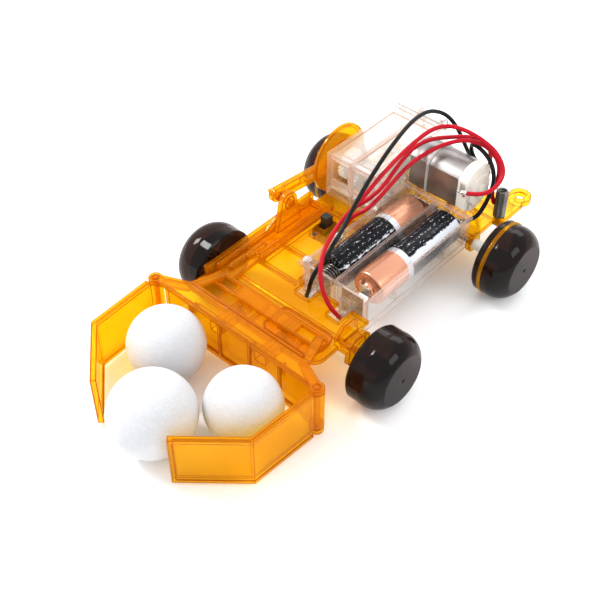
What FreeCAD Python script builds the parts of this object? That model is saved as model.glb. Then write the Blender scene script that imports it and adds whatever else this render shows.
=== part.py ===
"""Battery driven ball collector from a robotics kit, as separate solids.

Vehicle frame, millimetres: +Z up from the floor, the scoop faces -Y, and X 0 is the
centre line of the scoop.  When a piece is written it is moved by ORIGIN_SHIFT, which
puts the origin on the floor under the centre of the whole kit.
"""
import FreeCAD
import Part
import math
import os

V = FreeCAD.Vector
ORIGIN_SHIFT = V(-2.8, 30.8, 0.0)

# --- chassis and deck
DECK_TOP = 19.2
DECK_T = 1.8
DECK_LOW = DECK_TOP - DECK_T
DECK_LEFT = -31.4
DECK_FRONT = -62.5
DECK_RIGHT = 30.1
DECK_REAR = 57.0
RUN_FIT = 0.08
COVER = (2.6, 26.4, -60.9, -47.6, 3.0)
COVER_T = 1.1
SWITCH_SLOT = (-18.2, -14.4, -7.0, 0.2)
SPRING_TERMINAL = (31.6, 45.4)
TOW_HOLE = (30.4, 62.4, 2.1)
DECK_POSTS = ((-9.6, 0.8), (-7.6, -3.4))
DECK_POST_TOP = 22.0
WIRE_NOTCHES = ((-0.4, 6.6, -39.6), (16.0, 22.0, -41.0))

# --- wheels and axles
WHEEL_R = 14.8
WHEEL_W = 14.4
WHEEL_FACE_R = 10.2
BAND_R = 15.1
AXLE_R = 1.25
FRONT_AXLE = (-44.4, WHEEL_R)
REAR_AXLE = (30.1, BAND_R)
LEFT_WHEEL_X = 40.3
FRONT_RIGHT_WHEEL_X = -32.0
REAR_RIGHT_WHEEL_X = -34.7

# --- scoop
SCOOP_TOP = 24.0
SCOOP_LOW = 1.5
HINGE_X = 39.6
HINGE_Y = -72.4
CLAW_CORNER = (38.1, -102.3)
CLAW_TIP = (17.7, -120.1)
WALL_T = 1.4
BACK_WALL_Y = (-71.8, -70.3)
PLATE_LOW = 22.6
BARREL_R = 2.8
KNUCKLE_R = 2.7
PLATE_CORNER = (41.6, -71.2)
LEVER_ELBOW = (28.6, -66.6)
HINGE_PIN_R = 1.1
LEVER_LENGTH = 23.7
LEVER_ANGLE = 50.0
LEVER_Z = (21.2, 22.3)
ARM_X = 11.0
ARM_W = 5.0
SCOOP_SCREW_Y = -57.6

# --- slider, connecting rod and crank
CROSSBAR_Y = HINGE_Y + LEVER_LENGTH * math.sin(math.radians(LEVER_ANGLE))
PEG_X = HINGE_X - LEVER_LENGTH * math.cos(math.radians(LEVER_ANGLE))
SLIDER_LOW = 19.5
SLIDER_T = 1.4
EAR_PIN = (-15.0, 32.3)
CRANK_AXIS = (19.7, 31.7)
CRANK_R = 6.0
CRANK_ANGLE = -45.6
DISC_R = 14.8
DISC_X = (-30.8, -29.3)
DISH_DEPTH = 0.9
ROD_X = (-33.6, -31.2)
ROD_PIN_R = 1.2

# --- gear train, module and tooth counts
MODULE = 0.5
MOTOR_TEETH = 8
FIRST_BIG, FIRST_SMALL = 32, 10
SECOND_BIG, SECOND_SMALL = 28, 12
CRANK_TEETH = 24
AXLE_TEETH = 32
PLANE_A = (-25.3, -22.7)
PLANE_B = (-20.8, -18.4)
PLANE_C = (-12.4, -9.8)
SHAFT_R = 1.0

# --- gearbox shells
BOX_X = (-28.6, -4.4)
BOX_Y = (10.5, 58.3)
BOX_TOP = 40.0
BOX_WALL = 1.4
SUMP_X = (-27.0, -7.6)
SUMP_Y = (13.6, 41.0)
SUMP_LOW = 5.0
CASE_SCREWS = ((54.6, 41.4), (47.0, 22.6), (12.6, 22.9))

# --- motor
MOTOR_AXIS = (38.5, 33.7)
MOTOR_R = 10.05
MOTOR_FLAT = 7.55
CAN_X = (-3.4, 20.0)
CAP_END = 25.6

# --- battery box and cells
BATT_X = (-2.8, 29.1)
BATT_Y = (-33.0, 28.9)
BATT_Z = (13.2, 27.3)
BATT_WALL = 1.2
DIVIDER_T = 1.1
CELL_R = 7.0
CELL_Z = 21.5
CELL_Y = (-24.2, 25.4)
NUB_LENGTH = 1.2
BATT_LUGS = ((-6.2, -8.0), (-6.2, -26.0))
NEAR_SOCKETS = (2.6, 19.2)
TAB_Z = (15.0, 15.6)
BRIDGE_TAB = (22.0, 24.0, 32.6, 20.5, 21.0)
TERMINAL_Z = (36.6, 37.1)

# --- loose parts
BALLS = ((-19.0, -87.2, 14.5), (1.7, -112.8, 15.8), (21.2, -89.0, 14.1))
WIRE_R = 0.85

# Wire routes, chosen by hand: x, y, z of the corner points.
WIRES = {
    "wire_black_long": [
        (2.6, -36.4, 15.6), (4.3, -37.1, 19.5), (5.5, -37.6, 25.0), (5.9, -35.5, 29.4),
        (5.7, -28.5, 33.2), (5.0, -20.0, 38.4), (2.4, -9.1, 43.6), (-1.5, 5.9, 47.2),
        (-5.4, 22.5, 49.6), (-8.3, 36.8, 50.2), (-9.1, 45.8, 49.4), (-8.7, 52.4, 47.4),
        (-5.8, 58.4, 43.4), (-1.6, 60.6, 37.6), (3.4, 59.4, 32.6), (9.4, 56.6, 29.2),
        (15.4, 53.2, 27.8), (20.6, 49.8, 29.0), (22.6, 47.6, 32.4), (22.6, 47.6, 36.6)],
    "wire_red_feed": [
        (19.2, -36.4, 15.6), (19.1, -38.3, 18.4), (16.3, -39.5, 22.0), (11.9, -38.7, 27.8),
        (8.6, -35.8, 33.0), (5.5, -30.4, 36.6), (2.8, -21.4, 38.2), (0.6, -12.1, 38.9),
        (0.7, -4.3, 40.6), (0.0, 5.6, 43.6), (0.3, 15.9, 47.5), (1.0, 25.7, 50.5),
        (1.9, 35.4, 52.2), (5.4, 40.8, 53.2), (12.1, 43.2, 53.2), (20.2, 45.0, 51.0),
        (26.9, 46.2, 47.0), (32.1, 43.9, 42.0), (32.4, 38.1, 38.4), (30.0, 32.6, 36.95),
        (25.0, 29.8, 36.85)],
    "wire_red_motor": [
        (-9.6, 0.8, 22.0), (-8.2, 1.2, 28.6), (-1.2, 2.5, 35.6), (1.8, 8.4, 41.0),
        (0.2, 19.0, 44.2), (-0.9, 28.9, 45.9), (0.9, 37.2, 46.4), (5.6, 43.4, 46.2),
        (10.2, 48.6, 46.0), (15.4, 51.6, 45.6), (20.6, 50.4, 44.0), (22.6, 48.2, 40.8),
        (22.6, 47.8, 37.1)],
    "wire_red_spring": [
        (-7.6, -3.4, 22.0), (-5.6, -3.2, 28.0), (0.7, 1.8, 33.4), (1.2, 11.2, 37.4),
        (1.9, 22.9, 42.6), (5.6, 32.4, 46.4), (10.3, 39.5, 48.8), (15.8, 44.2, 49.4),
        (22.2, 47.0, 47.2), (27.5, 46.8, 42.8), (29.3, 44.8, 36.8), (27.6, 42.9, 30.6),
        (29.2, 44.5, 25.4)],
    "wire_black_short": [
        (21.2, 48.0, 36.85), (17.4, 48.1, 36.6), (14.0, 48.6, 38.8), (12.8, 48.4, 43.2),
        (15.6, 46.0, 46.4), (20.8, 45.0, 46.2), (25.8, 44.2, 43.2), (28.8, 42.6, 38.0),
        (29.2, 40.2, 32.4), (28.6, 38.2, 27.4), (27.8, 34.4, 23.0), (24.0, 31.6, 20.75)],
}


# ------------------------------------------------------------------ helpers
def block(x0, x1, y0, y1, z0, z1):
    return Part.makeBox(x1 - x0, y1 - y0, z1 - z0, V(x0, y0, z0))


def rod_x(x0, x1, yz, r):
    return Part.makeCylinder(r, x1 - x0, V(x0, yz[0], yz[1]), V(1, 0, 0))


def rod_y(y0, y1, x, z, r):
    return Part.makeCylinder(r, y1 - y0, V(x, y0, z), V(0, 1, 0))


def rod_z(z0, z1, x, y, r):
    return Part.makeCylinder(r, z1 - z0, V(x, y, z0), V(0, 0, 1))


def plate_z(points, z0, z1):
    """Prism over a polygon in plan."""
    ring = [V(x, y, z0) for x, y in points]
    wire = Part.makePolygon(ring + ring[:1])
    return Part.Face(wire).extrude(V(0, 0, z1 - z0))


def plate_x(points, x0, x1):
    """Prism over a polygon drawn in the Y-Z plane."""
    ring = [V(x0, y, z) for y, z in points]
    wire = Part.makePolygon(ring + ring[:1])
    return Part.Face(wire).extrude(V(x1 - x0, 0, 0))


def join(shapes):
    first, rest = shapes[0], shapes[1:]
    whole = first.fuse(rest) if rest else first
    return whole.removeSplitter()


def cut(shape, tools):
    return shape.cut(tools).removeSplitter() if tools else shape


def mirrored_x(shape):
    return shape.mirror(V(0, 0, 0), V(1, 0, 0))


def rounded_block(x0, x1, y0, y1, z0, z1, r, axis="z"):
    """A block with the four edges along one axis rounded."""
    shape = block(x0, x1, y0, y1, z0, z1)
    index = "xyz".index(axis)
    edges = [e for e in shape.Edges if abs(e.tangentAt(0)[index]) > 0.99]
    return shape.makeFillet(r, edges)


def save(name, *solids):
    shape = solids[0] if len(solids) == 1 else Part.makeCompound(list(solids))
    shape.translate(ORIGIN_SHIFT)
    for solid in shape.Solids:
        if not solid.isValid():
            print("INVALID", name)
    box = shape.BoundBox
    spans = [box.XMin, box.XMax, box.YMin, box.YMax, box.ZMin, box.ZMax]
    print(f"{name:28s} solids {len(shape.Solids)} box", " ".join(f"{s:.1f}" for s in spans))
    shape.exportStep(f"parts/{name}.step")


# ------------------------------------------------------------------ gears
def circle_crossing(p, rp, q, rq, side):
    """Point at distance rp from p and rq from q, on the chosen side of the line p-q."""
    dy, dz = q[0] - p[0], q[1] - p[1]
    d = math.hypot(dy, dz)
    along = (rp * rp - rq * rq + d * d) / (2 * d)
    off = side * math.sqrt(rp * rp - along * along)
    uy, uz = dy / d, dz / d
    return (p[0] + along * uy - off * uz, p[1] + along * uz + off * uy)


def centre_distance(teeth_a, teeth_b):
    return MODULE * (teeth_a + teeth_b) / 2


def direction(p, q):
    return math.atan2(q[1] - p[1], q[0] - p[0])


def meshing_phase(teeth_a, phase_a, angle_ab, teeth_b):
    """Phase of gear b that puts a gap of b on each tooth of a."""
    step_a, step_b = 2 * math.pi / teeth_a, 2 * math.pi / teeth_b
    return angle_ab + math.pi - step_b * ((phase_a - angle_ab) / step_a + 0.5)


def tooth_half_angle(teeth, radius):
    """Half the angle of an involute tooth at a radius, thinned for backlash."""
    pitch_r = MODULE * teeth / 2
    base_r = pitch_r * math.cos(math.radians(20))
    half = 0.84 * math.pi / (2 * teeth)

    def involute(r):
        a = math.acos(min(1.0, base_r / r))
        return math.tan(a) - a

    return half + involute(pitch_r) - involute(max(radius, base_r))


def gear(teeth, plane, centre, phase, bore):
    pitch_r = MODULE * teeth / 2
    radii = [pitch_r - 1.15 * MODULE, pitch_r - 0.4 * MODULE, pitch_r, pitch_r + 0.8 * MODULE]
    points = []
    for k in range(teeth):
        middle = phase + 2 * math.pi * k / teeth
        flank = [(r, tooth_half_angle(teeth, r)) for r in radii]
        rising = [(r, middle - h) for r, h in flank]
        falling = [(r, middle + h) for r, h in reversed(flank)]
        for r, a in rising + falling:
            points.append((centre[0] + r * math.cos(a), centre[1] + r * math.sin(a)))
    body = plate_x(points, plane[0], plane[1])
    if bore:
        body = body.cut(rod_x(plane[0] - 1, plane[1] + 1, centre, bore))
    return body


SECOND_AXIS = circle_crossing(CRANK_AXIS, centre_distance(SECOND_SMALL, CRANK_TEETH),
                              REAR_AXLE, centre_distance(SECOND_SMALL, AXLE_TEETH), -1)
FIRST_AXIS = circle_crossing(MOTOR_AXIS, centre_distance(MOTOR_TEETH, FIRST_BIG),
                             SECOND_AXIS, centre_distance(FIRST_SMALL, SECOND_BIG), 1)


def gear_train():
    motor_phase = 0.0
    first_big = meshing_phase(MOTOR_TEETH, motor_phase, direction(MOTOR_AXIS, FIRST_AXIS), FIRST_BIG)
    first_small = 0.0
    second_big = meshing_phase(FIRST_SMALL, first_small, direction(FIRST_AXIS, SECOND_AXIS), SECOND_BIG)
    second_small = 0.0
    crank = meshing_phase(SECOND_SMALL, second_small, direction(SECOND_AXIS, CRANK_AXIS), CRANK_TEETH)
    axle = meshing_phase(SECOND_SMALL, second_small, direction(SECOND_AXIS, REAR_AXLE), AXLE_TEETH)
    bore = SHAFT_R + 0.05

    save("motor_pinion", gear(MOTOR_TEETH, (-12.8, -9.4), MOTOR_AXIS, motor_phase, SHAFT_R))

    sleeve = rod_x(PLANE_B[1], PLANE_C[0], FIRST_AXIS, 1.9).cut(
        rod_x(PLANE_B[0], PLANE_C[1], FIRST_AXIS, bore))
    save("reduction_gear_first", join([gear(FIRST_BIG, PLANE_C, FIRST_AXIS, first_big, bore),
                                       gear(FIRST_SMALL, PLANE_B, FIRST_AXIS, first_small, bore),
                                       sleeve]))

    sleeve = rod_x(PLANE_A[1], PLANE_B[0], SECOND_AXIS, 2.3).cut(
        rod_x(PLANE_A[0], PLANE_B[1], SECOND_AXIS, bore))
    save("reduction_gear_second", join([gear(SECOND_BIG, PLANE_B, SECOND_AXIS, second_big, bore),
                                        gear(SECOND_SMALL, PLANE_A, SECOND_AXIS, second_small, bore),
                                        sleeve]))

    hub = rod_x(PLANE_A[1], PLANE_A[1] + 1.4, CRANK_AXIS, 2.2).cut(
        rod_x(PLANE_A[0], PLANE_A[1] + 3, CRANK_AXIS, SHAFT_R))
    save("crank_gear", join([gear(CRANK_TEETH, PLANE_A, CRANK_AXIS, crank, SHAFT_R), hub]))

    hub = rod_x(PLANE_A[1], PLANE_A[1] + 2.0, REAR_AXLE, 3.0).cut(
        rod_x(PLANE_A[0], PLANE_A[1] + 3, REAR_AXLE, AXLE_R))
    save("rear_axle_gear", join([gear(AXLE_TEETH, PLANE_A, REAR_AXLE, axle, AXLE_R), hub]))

    inner = (BOX_X[0] + 0.2, BOX_X[1] - 0.2)
    save("gear_shafts", rod_x(inner[0], inner[1], FIRST_AXIS, SHAFT_R),
         rod_x(inner[0], inner[1], SECOND_AXIS, SHAFT_R))
    save("crank_shaft", rod_x(DISC_X[0] + DISH_DEPTH, BOX_X[1] - 0.4, CRANK_AXIS, SHAFT_R))


# ------------------------------------------------------------------ gearbox
def gearbox_body():
    upper = block(BOX_X[0], BOX_X[1], BOX_Y[0], BOX_Y[1], DECK_TOP, BOX_TOP)
    sump = block(SUMP_X[0], SUMP_X[1], SUMP_Y[0], SUMP_Y[1], SUMP_LOW, DECK_TOP + 0.1)
    w = BOX_WALL
    inside = block(BOX_X[0] + w, BOX_X[1] - w, BOX_Y[0] + w, BOX_Y[1] - w, DECK_TOP + w, BOX_TOP - w)
    well = block(SUMP_X[0] + 1.2, SUMP_X[1] - 1.2, SUMP_Y[0] + 1.2, SUMP_Y[1] - 1.2,
                 SUMP_LOW + 1.2, DECK_TOP + w + 0.1)
    shell = upper.fuse(sump).cut([inside, well])

    holes = [rod_x(-30, -3, axis, SHAFT_R + 0.05) for axis in (FIRST_AXIS, SECOND_AXIS, CRANK_AXIS)]
    holes.append(rod_x(-30, -3, REAR_AXLE, AXLE_R + 0.4))
    holes.append(rod_x(-8, -3, MOTOR_AXIS, 3.1))
    bosses = []
    for axis in (FIRST_AXIS, CRANK_AXIS, SECOND_AXIS):
        bosses.append(rod_x(BOX_X[0] + w - 0.1, BOX_X[0] + w + 0.9, axis, 2.2))
        bosses.append(rod_x(BOX_X[1] - w - 2.4, BOX_X[1] - w + 0.1, axis, 2.2))
    shell = shell.fuse(bosses)

    # Front frame: an upper and a lower window beside a post on the parting line.
    middle = (BOX_X[0] + BOX_X[1]) / 2
    for x0, x1 in ((BOX_X[0] + 2.2, middle - 1.0), (middle + 1.0, BOX_X[1] - 2.2)):
        holes.append(block(x0, x1, BOX_Y[0] - 1, BOX_Y[0] + w + 0.5, 28.0, BOX_TOP - 2.4))
        holes.append(block(x0, x1, BOX_Y[0] - 1, BOX_Y[0] + w + 0.5, 21.6, 25.6))
        # Thin panel of the roof inside a thick frame.
        holes.append(block(x0, x1, BOX_Y[0] + 3, BOX_Y[1] - 9, BOX_TOP - 0.5, BOX_TOP + 1))
    for y0, y1 in ((14.0, 27.0), (47.5, 55.5)):
        holes.append(block(BOX_X[0] - 1, BOX_X[0] + 0.5, y0, y1, 22.0, 24.5))
    shell = shell.cut(holes)

    # Screw tubes, with a bore for the long case screws.
    tubes = [rod_x(BOX_X[0], BOX_X[1], p, 2.3) for p in CASE_SCREWS]
    bores = [rod_x(BOX_X[0] - 1, BOX_X[1] + 1, p, 1.15) for p in CASE_SCREWS]
    return shell.fuse(tubes).cut(bores)


def gearbox():
    whole = gearbox_body()
    middle = (BOX_X[0] + BOX_X[1]) / 2
    right = block(-40, middle, 0, 70, 0, 60)
    left = block(middle, 10, 0, 70, 0, 60)
    rear_tube = rod_x(BOX_X[0] + 2, middle - 2, (BOX_Y[1] - 0.6, BOX_TOP - 0.4), 2.1)
    bore = rod_x(BOX_X[0], middle, (BOX_Y[1] - 0.6, BOX_TOP - 0.4), 1.2)
    save("gearbox_shell_right", whole.common(right).fuse(rear_tube).cut(bore).removeSplitter())
    save("gearbox_shell_left", whole.common(left).removeSplitter())
    screws = []
    for p in CASE_SCREWS:
        head = rod_x(BOX_X[1], BOX_X[1] + 1.3, p, 2.0).cut(block(BOX_X[1] + 0.8, BOX_X[1] + 2,
                                                                 p[0] - 0.3, p[0] + 0.3, p[1] - 3, p[1] + 3))
        screws.append(head.fuse(rod_x(BOX_X[0] + 1, BOX_X[1], p, 1.05)).removeSplitter())
    save("gearbox_screws", *screws)


# ------------------------------------------------------------------ motor
def motor_section(x0, x1, grow=0.0):
    """The flat sided round section of the motor, as a prism along X."""
    y, z = MOTOR_AXIS
    flat = MOTOR_FLAT + grow
    tall = MOTOR_R + grow + 1
    return rod_x(x0, x1, MOTOR_AXIS, MOTOR_R + grow).common(
        block(x0, x1, y - flat, y + flat, z - tall, z + tall))


def motor():
    y, z = MOTOR_AXIS
    can = motor_section(CAN_X[0], CAN_X[1])
    front_edges = [e for e in can.Edges if all(abs(v.X - CAN_X[0]) < 0.01 for v in e.Vertexes)]
    can = can.makeFillet(0.9, front_edges)
    hollow = motor_section(CAN_X[0] + 1.0, CAN_X[1], -0.8)
    boss = rod_x(BOX_X[1] - 0.6, CAN_X[0] + 0.5, MOTOR_AXIS, 3.0)
    bore = rod_x(BOX_X[1] - 2, CAN_X[1], MOTOR_AXIS, SHAFT_R + 0.05)
    save("motor_can", can.fuse(boss).cut([hollow, bore]).removeSplitter())

    magnets = rod_x(CAN_X[0] + 4, CAN_X[1] - 5, MOTOR_AXIS, 9.1).cut(
        rod_x(CAN_X[0] + 3, CAN_X[1] - 4, MOTOR_AXIS, 7.1))
    side = block(-10, 30, y - 6.2, y + 6.2, z - 12, z + 12)
    halves = magnets.common(side)
    save("motor_magnets", *halves.Solids)

    core = rod_x(CAN_X[0] + 5, CAN_X[1] - 6, MOTOR_AXIS, 5.9)
    slots = []
    for k in range(3):
        slot = block(CAN_X[0] + 4, CAN_X[1] - 5, y - 0.8, y + 0.8, z + 2.4, z + 7)
        slot.rotate(V(0, y, z), V(1, 0, 0), 120 * k)
        slots.append(slot)
    save("motor_armature", core.cut(slots).cut(rod_x(-10, 30, MOTOR_AXIS, SHAFT_R)).removeSplitter())
    save("motor_shaft", rod_x(-13.2, CAP_END - 1.2, MOTOR_AXIS, SHAFT_R))

    cap = motor_section(CAN_X[1], CAP_END - 1.6)
    rim = rod_x(CAP_END - 1.6, CAP_END, MOTOR_AXIS, 6.4)
    nose = rod_x(CAP_END, CAP_END + 1.6, MOTOR_AXIS, 2.8)
    cuts = [rod_x(CAN_X[1] - 1, CAP_END - 1.1, MOTOR_AXIS, SHAFT_R + 0.1)]
    cuts.append(motor_section(CAN_X[1] - 1, CAN_X[1] + 2.6, -1.6))
    for side in (-1, 1):
        edge = y + side * MOTOR_FLAT
        cuts.append(block(CAN_X[1] + 1.0, CAP_END - 2.0, min(edge, edge - side * 1.2),
                          max(edge, edge - side * 1.2), z + 1.4, z + 5.4))
        cuts.append(block(CAP_END - 2.6, CAP_END + 1, y + side * 4.6 - 0.9, y + side * 4.6 + 0.9,
                          z - 9, z - 5.5))
    save("motor_end_cap", join([cap, rim, nose]).cut(cuts).removeSplitter())

    tabs = []
    low, top = TERMINAL_Z
    for side in (-1, 1):
        foot = y + side * (MOTOR_FLAT - 1.2)
        tip = y + side * (MOTOR_FLAT + 2.6)
        near = y + side * (MOTOR_FLAT + 0.4)
        tab = block(CAN_X[1] + 1.2, CAP_END - 2.2, min(foot, tip), max(foot, tip), low, top)
        ear = block(CAN_X[1] + 2.0, CAP_END - 0.6, min(near, tip), max(near, tip), low, top)
        tabs.append(tab.fuse(ear).removeSplitter())
    save("motor_terminals", *tabs)

    strap = motor_section(5.0, 5.9, 0.5).cut(motor_section(4, 7))
    save("motor_strap", strap)


# ------------------------------------------------------------------ chassis
def axle_lug(x0, x1, axle, top, half=3.2):
    y, z = axle
    return block(x0, x1, y - half, y + half, z, top).fuse(rod_x(x0, x1, axle, half))


def deck_plate():
    corner = 5.0
    front = rounded_block(DECK_LEFT, DECK_RIGHT, DECK_FRONT, -20, DECK_LOW, DECK_TOP, corner)
    front = front.fuse(block(DECK_LEFT, -20, DECK_FRONT, -25, DECK_LOW, DECK_TOP))
    front = front.common(block(-40, 40, -70, BATT_Y[0] - 0.4, 0, 40))
    spine = block(DECK_LEFT, BATT_X[0] - 0.4, BATT_Y[0] - 0.4, BATT_Y[1] + 0.4, DECK_LOW, DECK_TOP)
    rear = rounded_block(DECK_LEFT, 31.4, BATT_Y[1] + 0.4, DECK_REAR, DECK_LOW, DECK_TOP, 2.0)
    rear = rear.fuse(block(DECK_LEFT, 31.4, BATT_Y[1] + 0.4, 40, DECK_LOW, DECK_TOP))
    tongue = block(26.4, 34.6, 42.0, 58.0, DECK_LOW, DECK_TOP)
    tab = rod_z(DECK_LOW - 0.6, DECK_TOP, TOW_HOLE[0], TOW_HOLE[1], TOW_HOLE[2] + 2.5)
    neck = block(TOW_HOLE[0] - 3.2, TOW_HOLE[0] + 3.2, 56.0, TOW_HOLE[1], DECK_LOW, DECK_TOP)
    return front.fuse([spine, rear, tongue, tab, neck])


def chassis():
    openings = [block(SUMP_X[0] - 0.2, SUMP_X[1] + 0.2, SUMP_Y[0] - 0.2, SUMP_Y[1] + 0.2, 0, 30)]
    openings.append(block(-40, -28.8, 4.2, 60, 0, 40))
    openings.append(rod_z(0, 40, *TOW_HOLE))
    for x0, x1, y0 in WIRE_NOTCHES:
        openings.append(block(x0, x1, y0, BATT_Y[0], 0, 40))
    openings.append(block(-17.7, -14.7, -12.1, -9.1, 0, 40))
    openings.append(block(SWITCH_SLOT[0], SWITCH_SLOT[1], SWITCH_SLOT[2], SWITCH_SLOT[3], 0, 40))
    openings.append(rounded_block(COVER[0] - 0.15, COVER[1] + 0.15, COVER[2] - 0.15, COVER[3] + 0.15,
                                  DECK_TOP - COVER_T, 40, COVER[4]))
    openings.append(rounded_block(COVER[0] + 1.2, COVER[1] - 1.2, COVER[2] + 6.0, COVER[3] - 1.2,
                                  0, 40, COVER[4] - 1))

    rails = [block(DECK_LEFT, -29.4, -55.6, 3.6, DECK_TOP, 23.4)]
    rails.append(block(-19.9, -18.6, -36.0, 3.6, DECK_TOP, 22.2))
    rails.append(block(-19.9, -3.2, 2.4, 3.6, DECK_TOP, 21.4))

    skirts = [block(DECK_LEFT, 26.0, DECK_FRONT, DECK_FRONT + 1.4, 14.6, DECK_LOW)]
    skirts.append(block(DECK_LEFT, DECK_LEFT + 1.4, DECK_FRONT, 3.6, 14.6, DECK_LOW))
    skirts.append(block(BATT_X[0] - 1.8, BATT_X[0] - 0.4, BATT_Y[0], 12.0, 14.6, DECK_LOW))
    skirts.append(block(-28.8, 31.4, DECK_REAR - 1.4, DECK_REAR, 14.6, DECK_LOW))
    ribs = [block(x, x + 1.0, DECK_FRONT, -50.0, 15.2, DECK_LOW) for x in (-21.0, -4.0, 17.0)]
    ribs += [block(DECK_LEFT, -4.0, y, y + 1.0, 15.2, DECK_LOW) for y in (-35.0, -22.0, 4.6)]
    ribs += [block(4.0, 29.0, y, y + 1.0, 15.2, DECK_LOW) for y in (44.0, 50.0)]

    lugs = [axle_lug(-30.6, -28.6, FRONT_AXLE, DECK_LOW)]
    lugs.append(axle_lug(33.6, 35.6, FRONT_AXLE, 20.0))
    lugs.append(axle_lug(-28.8, -27.4, REAR_AXLE, DECK_LOW))
    lugs.append(axle_lug(29.6, 31.4, REAR_AXLE, DECK_LOW, 3.6))
    side = [(-51.0, 14.0), (-48.0, 10.6), (-41.0, 10.6), (-39.4, 16.0), (-39.4, 21.5), (-42.0, 24.0),
            (-47.0, 24.0), (-50.2, 21.5)]
    lugs.append(plate_x(side, 33.6, 35.6))
    inner = [(-50.5, DECK_LOW), (-39.0, DECK_LOW), (-39.0, 23.5), (-41.0, 26.0), (-46.5, 26.0), (-50.5, 22.5)]
    lugs.append(plate_x(inner, 28.2, 29.6))
    lugs.append(block(28.2, 35.6, -50.2, -39.6, 17.6, 18.8))
    lugs.append(block(28.2, 35.6, -50.5, -49.3, DECK_LOW, 22.0))
    cradle = [block(x, x + 1.6, 31.5, 45.5, DECK_TOP, 27.0) for x in (0.6, 15.4)]

    frame = deck_plate().fuse(rails + skirts + ribs + lugs + cradle)
    openings.append(motor_section(-4.4, 24, 0.1))
    openings.append(rod_x(-40, 40, FRONT_AXLE, AXLE_R + RUN_FIT))
    openings.append(rod_x(-40, -26, REAR_AXLE, AXLE_R + RUN_FIT))
    openings.append(rod_x(20, 40, REAR_AXLE, AXLE_R + RUN_FIT))
    for x in (-ARM_X, ARM_X):
        openings.append(block(x - ARM_W / 2 - 0.1, x + ARM_W / 2 + 0.1, -70, -54, 0, DECK_LOW))
        openings.append(rod_z(0, DECK_TOP - COVER_T, x, SCOOP_SCREW_Y, 0.9))
    for x, y in BATT_LUGS:
        openings.append(rod_z(16.0, 30, x, y, 0.9))
    openings.append(rod_z(DECK_LOW - 1, 40, SPRING_TERMINAL[0], SPRING_TERMINAL[1], 1.1))
    save("chassis", frame.cut(openings).removeSplitter())

    cover = rounded_block(COVER[0], COVER[1], COVER[2], COVER[3], DECK_TOP - COVER_T, DECK_TOP, COVER[4])
    grooves = [block(x, x + 0.8, COVER[2] + 3, COVER[3] - 3, DECK_TOP - 0.3, DECK_TOP + 1)
               for x in (8.0, 9.8, 11.6)]
    save("front_cover", cut(cover, grooves))
    save("deck_terminals", *[rod_z(DECK_TOP, DECK_POST_TOP, x, y, 1.0) for x, y in DECK_POSTS])


# ------------------------------------------------------------------ wheels
def wheel_profile(x_in, side, y_z, groove):
    """Domed cup wheel: x_in is its inner rim, and side is +1 when it bulges towards +X."""
    y, z = y_z

    def at(offset, radius):
        return V(x_in + side * offset, y, z + radius)

    hub = AXLE_R
    edges = []

    def line(a, b):
        edges.append(Part.LineSegment(a, b).toShape())

    rim = [at(0, hub), at(0, 3.2), at(7.5, 3.2), at(7.5, 11.6), at(0.6, 12.9), at(0, 13.3), at(0, 14.1),
           at(0.8, WHEEL_R)]
    for a, b in zip(rim, rim[1:]):
        line(a, b)
    last = rim[-1]
    if groove:
        for point in (at(2.6, WHEEL_R), at(2.6, BAND_R - 0.8), at(4.3, BAND_R - 0.8), at(4.3, WHEEL_R)):
            line(last, point)
            last = point
    shoulder = at(5.2, WHEEL_R)
    line(last, shoulder)
    bend = at(5.2 + (WHEEL_W - 5.2) * 0.72, WHEEL_FACE_R + (WHEEL_R - WHEEL_FACE_R) * 0.66)
    edge = at(WHEEL_W, WHEEL_FACE_R)
    edges.append(Part.Arc(shoulder, bend, edge).toShape())
    tail = [edge, at(WHEEL_W, 0.8), at(WHEEL_W - 1.6, 0.8), at(WHEEL_W - 1.6, hub), at(0, hub)]
    for a, b in zip(tail, tail[1:]):
        line(a, b)
    face = Part.Face(Part.Wire(edges))
    return face.revolve(V(x_in, y, z), V(1, 0, 0), 360)


def tyre_band(x_in, side, axle):
    low = min(x_in + side * 2.7, x_in + side * 4.2)
    ring = rod_x(low, low + 1.5, axle, BAND_R).cut(rod_x(low - 1, low + 3, axle, BAND_R - 0.75))
    outer = [e for e in ring.Edges if e.BoundBox.YLength > 2 * BAND_R - 0.1]
    return ring.makeFillet(0.35, outer)


def wheels():
    save("front_wheel_left", wheel_profile(LEFT_WHEEL_X, 1, FRONT_AXLE, False))
    save("front_wheel_right", wheel_profile(FRONT_RIGHT_WHEEL_X, -1, FRONT_AXLE, False))
    save("rear_wheel_left", wheel_profile(LEFT_WHEEL_X, 1, REAR_AXLE, True))
    save("rear_wheel_right", wheel_profile(REAR_RIGHT_WHEEL_X, -1, REAR_AXLE, True))
    save("tyre_bands", tyre_band(LEFT_WHEEL_X, 1, REAR_AXLE), tyre_band(REAR_RIGHT_WHEEL_X, -1, REAR_AXLE))
    blind = WHEEL_W - 1.6
    save("front_axle", rod_x(FRONT_RIGHT_WHEEL_X - blind, LEFT_WHEEL_X + blind, FRONT_AXLE, AXLE_R))
    save("rear_axle", rod_x(REAR_RIGHT_WHEEL_X - blind, LEFT_WHEEL_X + blind, REAR_AXLE, AXLE_R))
    spacers = []
    for x0, axle in ((35.6, FRONT_AXLE), (31.4, REAR_AXLE)):
        tube = rod_x(x0, LEFT_WHEEL_X - 0.3, axle, 2.2)
        spacers.append(tube.cut(rod_x(x0 - 1, LEFT_WHEEL_X, axle, AXLE_R + RUN_FIT)))
    save("axle_spacers", *spacers)


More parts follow.
